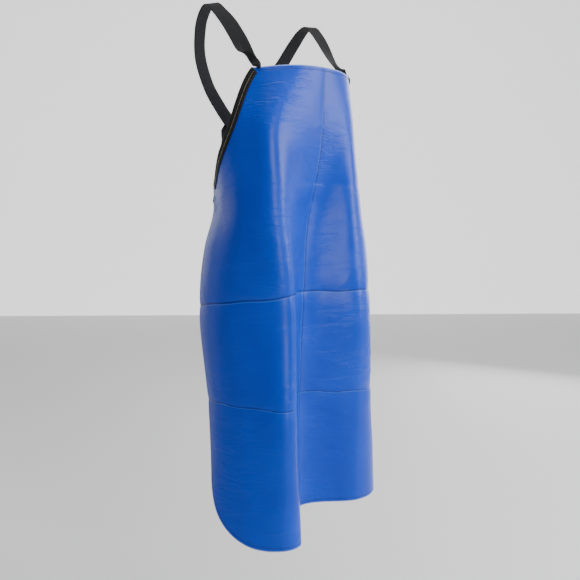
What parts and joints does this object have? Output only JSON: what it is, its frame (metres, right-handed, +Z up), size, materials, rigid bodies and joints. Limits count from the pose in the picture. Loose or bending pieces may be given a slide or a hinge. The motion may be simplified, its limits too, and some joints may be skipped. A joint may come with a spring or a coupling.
{
  "type": "butcher apron",
  "caption": "Bib apron of glossy blue film as worn, with bound armholes, crossed black back straps, side release clips and sliders.",
  "frame": {"origin": "midway between the tops of the two shoulder straps, where the apron hangs from the wearer", "axes": "+Z up, the wearer faces -Y and the wearer's right is at -X"},
  "size_m": [0.4372, 0.3309, 0.9906],
  "materials": {
    "blue_film": "gloss",
    "black_webbing": "matte",
    "black_plastic": "satin"
  },
  "bodies": {
    "apron": {"apron_panel": "blue_film", "armhole_binding_right": "black_webbing", "shoulder_strap_right": "black_webbing", "waist_patch_right": "blue_film", "waist_tab_right": "black_webbing", "clip_socket_right": "black_plastic", "armhole_binding_left": "black_webbing", "shoulder_strap_left": "black_webbing", "waist_patch_left": "blue_film", "waist_tab_left": "black_webbing", "clip_socket_left": "black_plastic"},
    "plug_right": {"clip_plug_right": "black_plastic", "strap_return_right": "black_webbing"},
    "latch_right_upper": {"latch_arm_right_upper": "black_plastic"},
    "latch_right_lower": {"latch_arm_right_lower": "black_plastic"},
    "slider_right": {"strap_slider_right": "black_plastic", "strap_end_loop_right": "black_webbing"},
    "plug_left": {"clip_plug_left": "black_plastic", "strap_return_left": "black_webbing"},
    "latch_left_upper": {"latch_arm_left_upper": "black_plastic"},
    "latch_left_lower": {"latch_arm_left_lower": "black_plastic"},
    "slider_left": {"strap_slider_left": "black_plastic", "strap_end_loop_left": "black_webbing"}
  },
  "joints": [
    {"name": "clip_release_right", "type": "slide", "parent": "apron", "child": "plug_right", "axis": [0.5723, 0.5667, 0.5928], "range_m": [0, 0.02], "deforming": ["latch_arm_right_upper", "latch_arm_right_lower", "strap_return_right"]},
    {"name": "latch_press_right_upper", "type": "hinge", "parent": "plug_right", "child": "latch_right_upper", "pos_m": [-0.11212, 0.01805, -0.31677], "axis": [0.7388, -0.67, -0.0729], "range_deg": [0, 14], "stiffness_Nm_per_rad": 0.3, "springref_deg": -2.86},
    {"name": "latch_press_right_lower", "type": "hinge", "parent": "plug_right", "child": "latch_right_lower", "pos_m": [-0.10323, 0.03004, -0.33682], "axis": [-0.7388, 0.67, 0.0729], "range_deg": [0, 14], "stiffness_Nm_per_rad": 0.3, "springref_deg": -2.86},
    {"name": "strap_adjust_right", "type": "slide", "parent": "plug_right", "child": "slider_right", "axis": [0.5723, 0.5667, 0.5928], "range_m": [-0.036, 0.016], "deforming": ["strap_return_right"]},
    {"name": "clip_release_left", "type": "slide", "parent": "apron", "child": "plug_left", "axis": [-0.6047, 0.4851, 0.6316], "range_m": [0, 0.02], "deforming": ["latch_arm_left_upper", "latch_arm_left_lower", "strap_return_left"]},
    {"name": "latch_press_left_upper", "type": "hinge", "parent": "plug_left", "child": "latch_left_upper", "pos_m": [0.11024, 0.03214, -0.31528], "axis": [0.6818, 0.7252, 0.0959], "range_deg": [0, 14], "stiffness_Nm_per_rad": 0.3, "springref_deg": -2.86},
    {"name": "latch_press_left_lower", "type": "hinge", "parent": "plug_left", "child": "latch_left_lower", "pos_m": [0.09995, 0.04436, -0.33452], "axis": [-0.6818, -0.7252, -0.0959], "range_deg": [0, 14], "stiffness_Nm_per_rad": 0.3, "springref_deg": -2.86},
    {"name": "strap_adjust_left", "type": "slide", "parent": "plug_left", "child": "slider_left", "axis": [-0.6047, 0.4851, 0.6316], "range_m": [-0.036, 0.016], "deforming": ["strap_return_left"]}
  ],
  "couplings": [
    {"joint": "latch_press_right_lower", "follows": "latch_press_right_upper", "ratio": 1},
    {"joint": "latch_press_left_lower", "follows": "latch_press_left_upper", "ratio": 1}
  ]
}
